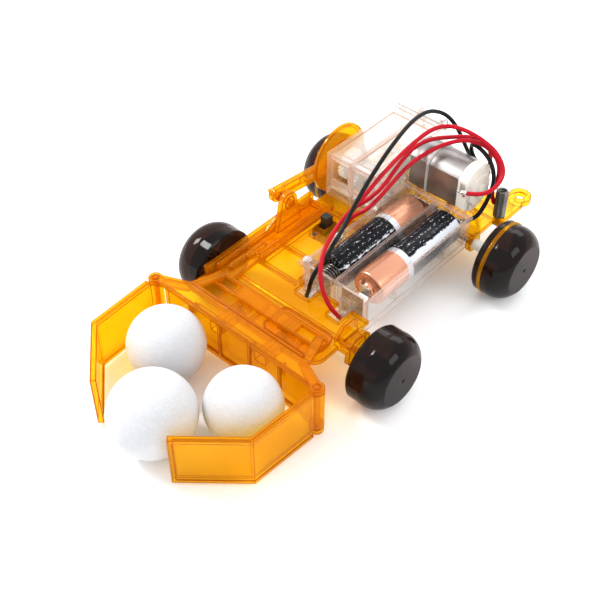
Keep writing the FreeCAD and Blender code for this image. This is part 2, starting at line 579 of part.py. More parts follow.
# ------------------------------------------------------------------ scoop
def scoop_frame():
    hx, hy = HINGE_X, HINGE_Y
    corner_x, corner_y = PLATE_CORNER
    plate = plate_z([(-corner_x, corner_y), (-hx + 2, hy - 1.0), (hx - 2, hy - 1.0), (corner_x, corner_y),
                     (27.2, -64.9), (-27.2, -64.9)], PLATE_LOW, SCOOP_TOP)
    knuckles = [rod_z(PLATE_LOW, SCOOP_TOP, s * hx, hy, KNUCKLE_R) for s in (-1, 1)]
    knuckles += [rod_z(SCOOP_LOW + 0.5, 4.3, s * hx, hy, KNUCKLE_R) for s in (-1, 1)]
    wall_end = hx - 4.0
    wall = block(-wall_end, wall_end, BACK_WALL_Y[0], BACK_WALL_Y[1], 3.2, PLATE_LOW)
    feet = [block(min(s * hx, s * (hx - 6)), max(s * hx, s * (hx - 6)), BACK_WALL_Y[0] - 0.6,
                  BACK_WALL_Y[1], SCOOP_LOW + 0.5, 4.3) for s in (-1, 1)]
    rim = block(-wall_end, wall_end, BACK_WALL_Y[0] - 0.6, BACK_WALL_Y[1], 3.2, 5.0)
    ribs = [block(x - 0.6, x + 0.6, BACK_WALL_Y[0] - 0.6, BACK_WALL_Y[1], 3.2, PLATE_LOW)
            for x in (-22.0, -7.5, 7.5, 22.0)]
    gussets = []
    for x in (-22.0, 22.0, -7.5, 7.5):
        gussets.append(plate_x([(BACK_WALL_Y[1], 14.0), (BACK_WALL_Y[1] + 1.6, 20.0),
                                (BACK_WALL_Y[1], 20.0)], x - 0.6, x + 0.6))
    arms = [block(s * ARM_X - ARM_W / 2, s * ARM_X + ARM_W / 2, BACK_WALL_Y[1] - 0.2, -54.2, 13.0, DECK_LOW)
            for s in (-1, 1)]
    strap = [block(-hx + 4, hx - 4, -65.9, -64.9, PLATE_LOW, SCOOP_TOP + 0.5)]
    lips = [block(-hx + 4, hx - 4, hy - 1.0, hy - 0.2, PLATE_LOW, SCOOP_TOP + 0.5)]
    frame = join([plate, wall, rim] + knuckles + feet + ribs + gussets + arms + lips)
    frame = frame.fuse(strap[0].common(plate_z([(-27.2, -70), (27.2, -70), (27.2, -60), (-27.2, -60)], 0, 40)))
    holes = [rod_z(0, 40, s * hx, hy, HINGE_PIN_R) for s in (-1, 1)]
    holes += [block(min(s * 19, s * 40), max(s * 19, s * 40), BACK_WALL_Y[0] - 1, BACK_WALL_Y[1] + 2,
                    LEVER_Z[0] - 0.5, PLATE_LOW) for s in (-1, 1)]
    holes += [rod_z(10, DECK_LOW + 1, s * ARM_X, SCOOP_SCREW_Y, 0.85) for s in (-1, 1)]
    save("scoop_frame", frame.cut(holes).removeSplitter())

    pins = []
    for s in (-1, 1):
        head = rod_z(SCOOP_TOP, SCOOP_TOP + 0.3, s * hx, hy, 1.5)
        pins.append(rod_z(SCOOP_LOW + 0.6, SCOOP_TOP, s * hx, hy, HINGE_PIN_R).fuse(head).removeSplitter())
    save("claw_hinge_pins", *pins)
    screws = []
    for s in (-1, 1):
        head = rod_z(11.6, 13.0, s * ARM_X, SCOOP_SCREW_Y, 1.9)
        screws.append(head.fuse(rod_z(13.0, DECK_TOP - 1.4, s * ARM_X, SCOOP_SCREW_Y, 0.85)).removeSplitter())
    save("scoop_screws", *screws)


def offset_run(points, distance):
    """The polyline moved sideways by a distance, corners mitred."""
    moved = []
    for i, p in enumerate(points):
        normals = []
        if i > 0:
            normals.append(side_normal(points[i - 1], p))
        if i < len(points) - 1:
            normals.append(side_normal(p, points[i + 1]))
        nx = sum(n[0] for n in normals)
        ny = sum(n[1] for n in normals)
        scale = 2.0 / (nx * nx + ny * ny) if len(normals) == 2 else 1.0
        moved.append((p[0] + nx * distance * scale, p[1] + ny * distance * scale))
    return moved


def side_normal(p, q):
    dx, dy = q[0] - p[0], q[1] - p[1]
    length = math.hypot(dx, dy)
    return (-dy / length, dx / length)


def panel_run(points, inside, outside, z0, z1):
    """A bent wall along a polyline: its thickness lies between two side distances."""
    return plate_z(offset_run(points, inside) + offset_run(points, outside)[::-1], z0, z1)


def claw():
    """The claw on the +X side, with its knuckle barrel, bent lever and slot peg."""
    hx, hy = HINGE_X, HINGE_Y
    start = (hx - 0.1, hy - KNUCKLE_R - 0.5)
    run = [start, CLAW_CORNER, CLAW_TIP]
    low, top = SCOOP_LOW, SCOOP_TOP - 0.2
    wall = panel_run(run, 0, WALL_T, low, top)
    rims = [panel_run(run, -0.5, WALL_T + 0.3, top - 1.6, top), panel_run(run, -0.5, WALL_T + 0.3, low, low + 1.4)]
    tip_start = (CLAW_TIP[0] + 1.5 * 0.753, CLAW_TIP[1] + 1.5 * 0.657)
    rims.append(panel_run([tip_start, CLAW_TIP], -0.5, WALL_T + 0.3, low, top))
    rims.append(rod_z(low, top, CLAW_CORNER[0] + 0.5, CLAW_CORNER[1], 0.9))
    web = panel_run([(hx - 0.1, hy), (start[0], start[1] - 0.2)], 0, WALL_T, 4.8, LEVER_Z[1])
    barrel = rod_z(4.6, LEVER_Z[1], hx, hy, BARREL_R)
    peg_at = (PEG_X, CROSSBAR_Y)
    lever = panel_run([(hx, hy), LEVER_ELBOW, peg_at], -1.8, 1.8, LEVER_Z[0], LEVER_Z[1])
    tip = rod_z(LEVER_Z[0], LEVER_Z[1], peg_at[0], peg_at[1], 1.8)
    peg = rod_z(SLIDER_LOW + 0.2, LEVER_Z[0] + 0.1, peg_at[0], peg_at[1], 1.4)
    body = join([wall, web, barrel, lever, tip, peg] + rims)
    return body.cut(rod_z(0, 40, hx, hy, HINGE_PIN_R + 0.06)).removeSplitter()


def claws():
    left = claw()
    save("claw_left", left.copy())
    save("claw_right", mirrored_x(left))


# ------------------------------------------------------------------ slider, rod, crank
def slider():
    top = SLIDER_LOW + SLIDER_T
    y0, y1 = CROSSBAR_Y - 3.2, CROSSBAR_Y + 3.2
    bar = rounded_block(-27.8, 27.8, y0, y1, SLIDER_LOW, top, 1.5)
    slots = [block(min(s * 14.8, s * 26.6), max(s * 14.8, s * 26.6), CROSSBAR_Y - 2.1, CROSSBAR_Y + 2.1,
                   SLIDER_LOW - 1, top + 1) for s in (-1, 1)]
    tray = block(-29.0, -20.3, y1 - 0.5, 0.6, SLIDER_LOW, top)
    walls = [block(-29.0, -27.4, y1 - 0.5, 0.6, SLIDER_LOW, 23.2)]
    walls.append(block(-21.6, -20.3, y1 + 14, 0.6, SLIDER_LOW, 23.0))
    walls.append(block(-29.0, -20.3, -0.8, 0.6, SLIDER_LOW, 23.0))
    walls.append(block(-29.0, -20.3, y1 + 14, y1 + 15.2, SLIDER_LOW, 22.4))
    gusset = plate_x([(y1 + 2, top), (y1 + 10, top), (y1 + 2, top + 1.2)], -24.9, -23.7)
    ear_y, ear_z = EAR_PIN
    ear = plate_x([(ear_y - 7.0, top - 0.5), (ear_y - 4.2, ear_z), (ear_y + 4.2, ear_z),
                   (ear_y + 6.5, top - 0.5)], -27.4, -25.2)
    crown = rod_x(-27.4, -25.2, EAR_PIN, 4.2)
    boss = rod_x(-25.4, -24.6, EAR_PIN, 2.6)
    brace = plate_x([(ear_y - 12.0, 22.6), (ear_y - 5.0, 26.5), (ear_y + 5.0, 26.5), (ear_y + 11.0, 22.6)],
                    -28.6, -27.2)
    pegs = []
    for x, y_a, y_b in ((-24.6, -47.6, -41.0), (-24.2, -39.5, -30.5)):
        pegs.append(rod_y(y_a, y_b, x, top + 0.9, 1.3).fuse(Part.makeSphere(1.3, V(x, y_a, top + 0.9))))
    body = join([bar, tray, gusset, ear, crown, boss, brace] + walls + pegs)
    body = body.cut(slots + [rod_x(-40, -20, EAR_PIN, ROD_PIN_R)])
    save("slider", body.removeSplitter())


def crank_pin_place():
    a = math.radians(CRANK_ANGLE)
    return (CRANK_AXIS[0] + CRANK_R * math.cos(a), CRANK_AXIS[1] + CRANK_R * math.sin(a))


def connecting_rod():
    front, rear = EAR_PIN, crank_pin_place()
    length = math.hypot(rear[0] - front[0], rear[1] - front[1])
    tilt = math.degrees(math.atan2(rear[1] - front[1], rear[0] - front[0]))
    y, z = front
    x0, x1 = ROD_X
    r_front, r_rear = 3.0, 3.0
    bars = plate_x([(y, z + r_front), (y + length, z + r_rear), (y + length, z - r_rear), (y, z - r_front)],
                   x0, x1)
    eyes = [rod_x(x0, x1, front, r_front), rod_x(x0, x1, (y + length, z), r_rear)]
    slot = plate_x([(y + 17, z + 1.2), (y + length - 4.4, z + 1.5), (y + length - 4.4, z - 1.5),
                    (y + 17, z - 1.2)], x0 - 1, x1 + 1)
    groove_out = plate_x([(y + 5, z + 1.6), (y + 15, z + 1.6), (y + 15, z - 1.6), (y + 5, z - 1.6)],
                         x0 - 1, x0 + 1.0)
    groove_in = groove_out.copy()
    groove_in.translate(V(x1 - x0 + 1.0, 0, 0))
    stub = rod_x(x1 - 0.5, DISC_X[0] + DISH_DEPTH - 0.3, (y + length, z), 1.4)
    body = join([bars, stub] + eyes).cut([slot, groove_out, groove_in, rod_x(-40, -20, front, ROD_PIN_R + 0.06)])
    body.rotate(V(0, y, z), V(1, 0, 0), tilt)
    save("connecting_rod", body.removeSplitter())

    shank = rod_x(-34.6, -24.0, EAR_PIN, ROD_PIN_R)
    point = Part.makeCone(ROD_PIN_R + 0.5, 0.4, 2.0, V(-34.5, y, z), V(-1, 0, 0))
    collar = rod_x(-31.0, -29.9, EAR_PIN, 1.9)
    save("rod_pin", join([shank, point, collar]))


def crank_disc():
    disc = rod_x(DISC_X[0], DISC_X[1], CRANK_AXIS, DISC_R)
    dish = rod_x(DISC_X[0] - 1, DISC_X[0] + DISH_DEPTH, CRANK_AXIS, DISC_R - 1.5)
    ring = rod_x(DISC_X[1], DISC_X[1] + 0.35, CRANK_AXIS, 8.2).cut(
        rod_x(DISC_X[1] - 1, DISC_X[1] + 1, CRANK_AXIS, 7.2))
    hub = rod_x(DISC_X[1] - 0.1, DISC_X[1] + 0.4, CRANK_AXIS, 3.0)
    body = join([disc.cut(dish), ring, hub])
    save("crank_disc", body.cut(rod_x(-40, -20, CRANK_AXIS, SHAFT_R)).removeSplitter())


# ------------------------------------------------------------------ battery box
def cell_axes():
    middle = (BATT_X[0] + BATT_X[1]) / 2
    reach = DIVIDER_T / 2 + 7.1
    return (middle - reach, middle + reach)


def battery_box():
    w = BATT_WALL
    middle = (BATT_X[0] + BATT_X[1]) / 2
    outer = rounded_block(BATT_X[0], BATT_X[1], BATT_Y[0], BATT_Y[1], BATT_Z[0], BATT_Z[1], 0.8)
    inner = block(BATT_X[0] + w, BATT_X[1] - w, BATT_Y[0] + w, BATT_Y[1] - w, BATT_Z[0] + w, BATT_Z[1] + 1)
    tray = outer.cut(inner)
    extra = [block(middle - DIVIDER_T / 2, middle + DIVIDER_T / 2, BATT_Y[0] + w, BATT_Y[1] - w - 0.8,
                   BATT_Z[0] + w, BATT_Z[1] + 0.5)]
    for x in cell_axes():
        for y in (CELL_Y[0] + 10, CELL_Y[1] - 10):
            saddle = block(x - 6.4, x + 6.4, y - 0.7, y + 0.7, BATT_Z[0] + w, CELL_Z - 4.5)
            extra.append(saddle.cut(rod_y(y - 2, y + 2, x, CELL_Z, CELL_R + 0.1)))
    for x in NEAR_SOCKETS:
        extra.append(block(x - 2.2, x + 2.2, BATT_Y[0] - 1.8, BATT_Y[0] + 0.1, BATT_Z[0] + 2.6, BATT_Z[0] + 10))
    for x, y in BATT_LUGS:
        extra.append(block(x - 2.6, BATT_X[0] + 0.2, y - 2.6, y + 2.6, DECK_TOP, DECK_TOP + 1.6))
    extra.append(block(BATT_X[0], BATT_X[1], BATT_Y[1] - 0.1, BATT_Y[1] + 1.2, BATT_Z[1] - 1.4, BATT_Z[1]))
    tray = join([tray] + extra)
    holes = [rod_z(10, 40, x, y, 0.9) for x, y in BATT_LUGS]
    for x in NEAR_SOCKETS:
        holes.append(block(x - 1.3, x + 1.3, BATT_Y[0] - 3, BATT_Y[0] + w + 0.5, TAB_Z[0], TAB_Z[1]))
    holes.append(block(BRIDGE_TAB[0] - 0.1, BRIDGE_TAB[1] + 0.1, BATT_Y[1] - w - 0.5, BATT_Y[1] + 1,
                       BRIDGE_TAB[3] - 0.05, BRIDGE_TAB[4] + 0.05))
    floor_slots = [rounded_block(x - 3, x + 3, -8, 10, 0, BATT_Z[0] + w + 0.1, 2.0) for x in cell_axes()]
    axle_groove = rod_x(BATT_X[0] - 1, BATT_X[1] + 1, REAR_AXLE, AXLE_R + 0.4)
    save("battery_box", tray.cut(holes + floor_slots + [axle_groove]).removeSplitter())
    screws = []
    for x, y in BATT_LUGS:
        head = rod_z(DECK_TOP + 1.6, DECK_TOP + 2.8, x, y, 1.7)
        slot = block(x - 3, x + 3, y - 0.3, y + 0.3, DECK_TOP + 2.4, DECK_TOP + 4)
        screws.append(head.fuse(rod_z(16.2, DECK_TOP + 1.7, x, y, 0.88)).cut(slot).removeSplitter())
    save("battery_box_screws", *screws)


def battery_cell(x, nub_at_front):
    y0, y1 = CELL_Y
    body = rod_y(y0, y1 - NUB_LENGTH, x, CELL_Z, CELL_R)
    rims = [e for e in body.Edges if e.BoundBox.XLength > 2 * CELL_R - 0.1]
    body = body.makeFillet(0.5, rims)
    nub = rod_y(y1 - NUB_LENGTH - 0.1, y1, x, CELL_Z, 2.6)
    whole = body.fuse(nub).removeSplitter()
    if nub_at_front:
        whole = whole.mirror(V(x, (y0 + y1) / 2, CELL_Z), V(0, 1, 0))
    return whole


def contact_spring(x, y_wide, y_tip, turns, wire):
    """Conical coil whose wide end sits on its plate."""
    direction_y = 1 if y_tip > y_wide else -1
    height = abs(y_tip - y_wide) - 2 * wire
    helix = Part.makeHelix(height / turns, height, 3.6, math.degrees(math.atan(-1.6 / height)))
    start = helix.Edges[0].Vertexes[0].Point
    profile = Part.Wire(Part.makeCircle(wire, start, V(0, 1, 0.1)))
    coil = Part.Wire(helix).makePipeShell([profile], True, True)
    coil.rotate(V(0, 0, 0), V(1, 0, 0), -90 * direction_y)
    coil.translate(V(x, y_wide + direction_y * wire, CELL_Z))
    return coil


def contacts():
    left, right = cell_axes()
    near = BATT_Y[0] + BATT_WALL
    far = BATT_Y[1] - BATT_WALL
    plates = []
    for x, socket in zip((left, right), NEAR_SOCKETS):
        plate = block(x - 5.0, x + 5.0, near, near + 0.5, TAB_Z[0] - 0.2, 26.0)
        tab = block(socket - 1.2, socket + 1.2, BATT_Y[0] - 4.4, near + 0.4, TAB_Z[0] + 0.05, TAB_Z[1] - 0.05)
        plates.append(join([plate, tab]))
    leaf_points = [(near + 0.4, 17.0), (near + 0.4, 17.5), (CELL_Y[0] - 0.8, 20.0), (CELL_Y[0] - 0.8, 24.0),
                   (CELL_Y[0] - 0.3, 24.0), (CELL_Y[0] - 0.3, 19.7)]
    leaf = plate_x(leaf_points, right - 2.2, right + 2.2)
    save("contact_near_left", plates[0])
    save("contact_near_right", join([plates[1], leaf]))
    bridge = block(left - 4.5, right + 4.5, far - 0.7, far - 0.2, 17.0, 25.4)
    middle = (BATT_X[0] + BATT_X[1]) / 2
    crest = block(middle - 1.5, middle + 1.5, far - 0.7, far - 0.2, 25.0, 26.4)
    tab = block(BRIDGE_TAB[0], BRIDGE_TAB[1], far - 0.3, BRIDGE_TAB[2], BRIDGE_TAB[3], BRIDGE_TAB[4])
    far_leaf = plate_x([(far - 0.6, 17.0), (far - 0.6, 17.6), (CELL_Y[1] + 0.9, 20.0),
                        (CELL_Y[1] + 0.9, 24.0), (CELL_Y[1] + 0.3, 24.0), (CELL_Y[1] + 0.3, 19.7)],
                       right - 2.2, right + 2.2)
    save("contact_bridge_far", join([bridge, crest, tab, far_leaf]))
    save("contact_spring_near", contact_spring(left, near + 0.5, CELL_Y[0] - 0.05, 5, 0.3))
    save("battery_cell_left", battery_cell(left, False))
    save("battery_cell_right", battery_cell(right, True))


# ------------------------------------------------------------------ switch and spring terminal
def switch():
    x0, x1, y0, y1 = SWITCH_SLOT
    housing = block(x0 - 1.6, x1 + 1.6, y0 - 1.0, y1 + 1.0, 12.6, DECK_LOW)
    hollow = block(x0, x1, y0, y1, 14.8, DECK_LOW + 1)
    legs = [block((x0 + x1) / 2 - 0.6, (x0 + x1) / 2 + 0.6, y - 0.2, y + 0.2, 9.8, 12.6)
            for y in (y0 + 1.0, (y0 + y1) / 2, y1 - 1.0)]
    save("switch_body", housing.cut(hollow).removeSplitter())
    save("switch_legs", *legs)
    knob_y0 = y0 + 2.0
    foot = block(x0 + 0.1, x1 - 0.1, knob_y0 - 0.8, knob_y0 + 4.2, 15.0, DECK_LOW - 0.1)
    stem = block(x0 + 0.2, x1 - 0.2, knob_y0, knob_y0 + 3.4, DECK_LOW - 0.2, 23.4)
    grips = [block(x0, x1, knob_y0 + 0.7 + 1.1 * k, knob_y0 + 1.2 + 1.1 * k, 23.0, 24.0) for k in range(3)]
    save("switch_knob", join([foot, stem]).cut(grips).removeSplitter())


def spring_terminal():
    x, y = SPRING_TERMINAL
    wire, radius, turns = 0.5, 2.0, 12
    pitch = 2 * wire + 0.08
    helix = Part.makeHelix(pitch, pitch * turns, radius)
    start = helix.Edges[0].Vertexes[0].Point
    profile = Part.Wire(Part.makeCircle(wire, start, V(0, 1, 0)))
    coil = Part.Wire(helix).makePipeShell([profile], True, True)
    coil.translate(V(x, y, DECK_TOP + wire + 0.02))
    save("spring_terminal", coil)
    post = rod_z(DECK_LOW - 1.2, DECK_TOP + 6.0, x, y, 1.0)
    head = rod_z(DECK_LOW - 1.2, DECK_LOW, x, y, 2.2)
    save("spring_terminal_post", post.fuse(head).removeSplitter())


# ------------------------------------------------------------------ wires
def wire_path(points):
    """Straight runs joined by tangent arcs as large as the runs allow."""
    nodes = [V(*p) for p in points]
    edges, radii = [], []
    last = nodes[0]
    for before, here, after in zip(nodes, nodes[1:], nodes[2:]):
        into, out = here - before, after - here
        turn = into.getAngle(out)
        radius = 0.45 * min(into.Length, out.Length) / math.tan(turn / 2)
        back = radius * math.tan(turn / 2)
        a = here - into.normalize() * back
        b = here + out.normalize() * back
        centre_way = (a - here).normalize() + (b - here).normalize()
        middle = here + centre_way.normalize() * (radius / math.cos(turn / 2) - radius)
        edges.append(Part.LineSegment(last, a).toShape())
        edges.append(Part.Arc(a, middle, b).toShape())
        radii.append(radius)
        last = b
    edges.append(Part.LineSegment(last, nodes[-1]).toShape())
    return Part.Wire(edges), radii


def wires():
    for name, points in WIRES.items():
        path, radii = wire_path(points)
        way = V(*points[1]) - V(*points[0])
        profile = Part.Wire(Part.makeCircle(WIRE_R, V(*points[0]), way))
        tube = path.makePipeShell([profile], True, False)
        ratio = tube.Volume / (math.pi * WIRE_R ** 2 * path.Length)
        print(f"{name} length {path.Length:.1f} volume ratio {ratio:.3f} radii",
              " ".join(f"{r:.1f}" for r in radii))
        save(name, tube)


def balls():
    for k, (x, y, r) in enumerate(BALLS):
        save(f"foam_ball_{k + 1}", Part.makeSphere(r, V(x, y, r)))


def main():
    os.makedirs("parts", exist_ok=True)
    chassis()
    gear_train()
    gearbox()
    motor()
    wheels()
    scoop_frame()
    claws()
    slider()
    connecting_rod()
    crank_disc()
    battery_box()
    contacts()
    switch()
    spring_terminal()
    wires()
    balls()


main()
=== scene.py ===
"""Looks of the toy robot vehicle with its claw scoop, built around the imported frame."""
import math

import bmesh
import bpy
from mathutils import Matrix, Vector, noise


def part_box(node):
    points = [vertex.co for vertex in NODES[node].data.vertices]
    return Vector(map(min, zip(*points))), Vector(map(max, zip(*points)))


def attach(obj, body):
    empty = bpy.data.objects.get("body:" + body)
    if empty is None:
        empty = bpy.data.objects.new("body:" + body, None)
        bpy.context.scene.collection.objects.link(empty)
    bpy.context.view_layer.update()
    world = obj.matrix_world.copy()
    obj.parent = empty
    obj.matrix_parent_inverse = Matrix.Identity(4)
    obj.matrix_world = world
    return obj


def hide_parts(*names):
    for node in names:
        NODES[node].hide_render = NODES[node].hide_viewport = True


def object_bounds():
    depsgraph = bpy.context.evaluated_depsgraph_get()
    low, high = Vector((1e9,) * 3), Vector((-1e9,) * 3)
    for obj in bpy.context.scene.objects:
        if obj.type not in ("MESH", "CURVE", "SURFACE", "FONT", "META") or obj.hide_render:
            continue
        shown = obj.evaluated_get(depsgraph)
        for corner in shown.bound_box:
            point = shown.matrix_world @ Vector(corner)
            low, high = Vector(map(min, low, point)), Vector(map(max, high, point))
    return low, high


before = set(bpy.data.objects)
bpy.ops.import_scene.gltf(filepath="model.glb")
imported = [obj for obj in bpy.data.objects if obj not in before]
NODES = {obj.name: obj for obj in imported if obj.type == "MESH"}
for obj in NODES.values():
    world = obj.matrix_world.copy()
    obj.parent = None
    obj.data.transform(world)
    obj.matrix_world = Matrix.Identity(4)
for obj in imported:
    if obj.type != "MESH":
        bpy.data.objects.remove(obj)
CAD_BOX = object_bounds()

MM = 0.001
FRAME_SHIFT = Vector((-2.8, 30.8, 0.0))

CAMERA_LENS = 65.14
CAMERA_SENSOR = 36.0
CAMERA_PLACE = (0.19057, -0.22031, 0.29926)
CAMERA_TARGET = (-0.004402, -0.004423, 0.010)

WIRE_D = 1.7 * MM
CELL_Z = 21.5
COPPER_SHARE = 0.345
BAND_SHARE = 0.055
FLOOR_SIDE = 6.0

SKIN_BEADS = 900.0
BALL_BEADS = 700.0
SEAM_WIDTH = 0.16
SEAM_DEPTH = 0.00004
WAVE_DEPTH = 0.00010
LUMP_SHARE = 0.16

DOT_X = 23.2
DOT_Z = 33.9
DOT_RADIUS = 0.62 * MM

WORLD_COLOUR = (0.96, 0.98, 1.0, 1.0)
WORLD_STRENGTH = 1.25
LIGHT_TARGET = (0.0, 0.0, 0.02)
LAMPS = (("key", (-0.55, -0.20, 0.62), (0.20, 0.30), 7.0),
         ("fill", (0.62, 0.10, 0.50), (0.35, 0.30), 1.5),
         ("back", (-0.10, 0.75, 0.55), (0.60, 0.30), 2.0))


def place(x, y, z):
    """A point given in the vehicle's own millimetres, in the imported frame's metres."""
    return (Vector((x, y, z)) + FRAME_SHIFT) * MM


# ------------------------------------------------------------------ camera
def make_camera():
    data = bpy.data.cameras.new("camera")
    data.lens = CAMERA_LENS
    data.sensor_width = CAMERA_SENSOR
    camera = bpy.data.objects.new("camera", data)
    bpy.context.scene.collection.objects.link(camera)
    camera.location = CAMERA_PLACE
    camera.rotation_mode = "QUATERNION"
    camera.rotation_quaternion = (Vector(CAMERA_TARGET) - camera.location).to_track_quat("-Z", "Y")
    bpy.context.scene.camera = camera


# ------------------------------------------------------------------ node trees
class Nodes:
    """One material's node tree, with short calls that add and join its nodes."""

    def __init__(self, name):
        self.material = bpy.data.materials.new(name)
        self.material.use_nodes = True
        self.tree = self.material.node_tree
        self.tree.nodes.clear()
        self.out = self.add("OutputMaterial")
        self.point = self.add("TexCoord").outputs["Object"]

    def add(self, kind, inputs=None, **settings):
        node = self.tree.nodes.new("ShaderNode" + kind)
        for key, value in settings.items():
            setattr(node, key, value)
        for key, value in (inputs or {}).items():
            if isinstance(value, bpy.types.NodeSocket):
                self.tree.links.new(value, node.inputs[key])
            else:
                node.inputs[key].default_value = value
        return node

    def noise(self, scale, detail=2.0, rough=0.5, stretch=None):
        """Noise of that many cells a metre, from 0 to 1."""
        vector = self.point
        if stretch:
            vector = self.add("Mapping", {"Vector": vector, "Scale": stretch}).outputs[0]
        wanted = {"Vector": vector, "Scale": scale, "Detail": detail, "Roughness": rough}
        return self.add("TexNoise", wanted).outputs["Fac"]

    def ramp(self, value, low, high, to_low=0.0, to_high=1.0):
        """value between low and high, turned to a number between to_low and to_high."""
        wanted = {"Value": value, "From Min": low, "From Max": high, "To Min": to_low, "To Max": to_high}
        return self.add("MapRange", wanted, clamp=True).outputs["Result"]

    def math(self, operation, a, b=0.5):
        return self.add("Math", {0: a, 1: b}, operation=operation).outputs[0]

    def mix(self, factor, a, b):
        """Colour a where factor is 0 and b where it is 1."""
        return self.add("Mix", {"Factor": factor, "A": a, "B": b}, data_type="RGBA").outputs["Result"]

    def blend(self, factor, a, b):
        """Shader a where factor is 0 and b where it is 1."""
        return self.add("MixShader", {0: factor, 1: a, 2: b}).outputs[0]

    def bump(self, height, strength, distance, normal=None):
        wanted = {"Height": height, "Strength": strength, "Distance": distance}
        if normal is not None:
            wanted["Normal"] = normal
        return self.add("Bump", wanted).outputs["Normal"]

    def edge(self, radius, low=0.02, high=0.25):
        """Rounded normal, and a mask that is 1 along sharp edges within radius."""
        rounded = self.add("Bevel", {"Radius": radius}, samples=6).outputs["Normal"]
        flat = self.add("NewGeometry").outputs["Normal"]
        same = self.add("VectorMath", {0: rounded, 1: flat}, operation="DOT_PRODUCT").outputs["Value"]
        turned = self.math("SUBTRACT", 1.0, same)
        return rounded, self.ramp(turned, low, high)

    def surface(self, shader):
        self.tree.links.new(shader, self.out.inputs["Surface"])
        return self.material


def rgba(r, g, b):
    return (r, g, b, 1.0)


def scaled(colour, factor):
    """The colour made lighter or darker, kept within 1."""
    return rgba(*(min(1.0, c * factor) for c in colour[:3]))


# ------------------------------------------------------------------ materials
def tinted_plastic(name, body, rim, tint, haze, rim_haze, edge_radius, roughness=0.09, flow=0.25, inner=0.3):
    """Clear coloured plastic: a tinted see-through share, a light-scattering body share, and deeper rims
    whose colour rim is painted light: painted shade along the amber's edges, painted orange reflections along
    the clear and milky edges.

    haze is the body share on flats, rim_haze on edges; inner is how much its back faces mirror."""
    n = Nodes(name)
    rounded, painted_edge_mask = n.edge(edge_radius, 0.01, 0.13)
    cloud = n.noise(55.0, 3.0)
    streak = n.noise(240.0, 4.0, 0.6, (1.0, 0.25, 1.0))
    colour = n.mix(n.ramp(cloud, 0.3, 0.75), body, scaled(body, 0.86))
    # Rims take the colour rim: painted shade on amber, painted reflections on the clear plastics.
    colour = n.mix(painted_edge_mask, colour, rim)
    scuff = n.ramp(streak, 0.55, 0.8, roughness, roughness + 0.12)
    ripple = n.bump(n.noise(120.0, 2.0), flow, 0.0004, rounded)
    shine = {"Base Color": colour, "Roughness": scuff, "Normal": ripple}
    gloss = n.add("BsdfPrincipled", shine)
    gloss.inputs["IOR"].default_value = 1.5
    gloss.inputs["Specular IOR Level"].default_value = 0.15
    gloss.inputs["Coat Weight"].default_value = 0.06
    gloss.inputs["Coat Roughness"].default_value = 0.03
    glow = n.add("BsdfTranslucent", {"Color": colour}).outputs[0]
    solid = n.blend(0.45, gloss.outputs[0], glow)
    # The see-through share is also tinted with the painted rim colour along edges.
    through = n.add("BsdfTransparent", {"Color": n.mix(painted_edge_mask, tint, rim)}).outputs[0]
    share = n.ramp(painted_edge_mask, 0.0, 1.0, haze, rim_haze)
    glaze = n.add("BsdfAnisotropic", {"Color": tuple(math.sqrt(c) for c in tint), "Roughness": scuff,
                                      "Normal": ripple})
    leaving = n.add("NewGeometry").outputs["Backfacing"]
    graze = n.add("Fresnel", {"IOR": 1.35, "Normal": ripple}).outputs[0]
    graze = n.math("MULTIPLY", graze, n.ramp(leaving, 0.0, 1.0, 1.0, inner))
    clear = n.blend(graze, through, glaze.outputs[0])
    return n.surface(n.blend(share, clear, solid))


def amber_plastic():
    # The second colour is the rim: a deeper orange painted along the edges as painted shade.
    return tinted_plastic("amber_plastic", rgba(0.90, 0.43, 0.002), rgba(0.46, 0.085, 0.0003),
                          rgba(0.99, 0.77, 0.08), haze=0.19, rim_haze=0.85, edge_radius=0.0009,
                          roughness=0.08, flow=0.12, inner=0.5)


def clear_plastic():
    # The second colour is the rim: peach painted along the edges as a painted reflection of the amber.
    return tinted_plastic("clear_plastic", rgba(0.94, 0.91, 0.89), rgba(0.66, 0.44, 0.36),
                          rgba(0.998, 0.993, 0.99), haze=0.06, rim_haze=0.75, edge_radius=0.0010,
                          roughness=0.04, flow=0.08, inner=0.22)


def milky_plastic():
    # The second colour is the rim: peach painted along the edges as a painted reflection of the amber.
    return tinted_plastic("milky_plastic", rgba(0.95, 0.92, 0.91), rgba(0.72, 0.47, 0.36),
                          rgba(0.995, 0.985, 0.975), haze=0.20, rim_haze=0.75, edge_radius=0.0010,
                          roughness=0.08, flow=0.12, inner=0.35)


def strap_plastic():
    return tinted_plastic("strap_plastic", rgba(0.93, 0.91, 0.88), rgba(0.95, 0.92, 0.88),
                          rgba(0.97, 0.96, 0.95), haze=0.6, rim_haze=0.85, edge_radius=0.0003,
                          roughness=0.08, flow=0.1)


def smoky_plastic():
    """Dark brown see-through plastic, nearly black where two walls overlap."""
    n = Nodes("smoky_plastic")
    rounded, painted_edge_mask = n.edge(0.0005)
    colour = n.mix(n.noise(70.0, 3.0), rgba(0.004, 0.0025, 0.002), rgba(0.010, 0.006, 0.005))
    # Edges get a lighter brown: a painted highlight along the rims.
    colour = n.mix(painted_edge_mask, colour, rgba(0.07, 0.045, 0.035))
    marks = n.ramp(n.noise(600.0, 4.0, 0.7, (0.3, 1.0, 1.0)), 0.62, 0.8, 0.07, 0.20)
    ripple = n.bump(n.noise(90.0, 1.0), 0.12, 0.0004, rounded)
    body = n.add("BsdfPrincipled", {"Base Color": colour, "Roughness": marks, "Normal": ripple})
    body.inputs["Specular IOR Level"].default_value = 0.20
    body.inputs["Coat Weight"].default_value = 0.05
    body.inputs["Coat Roughness"].default_value = 0.03
    through = n.add("BsdfTransparent", {"Color": rgba(0.30, 0.17, 0.12)}).outputs[0]
    return n.surface(n.blend(0.60, through, body.outputs[0]))


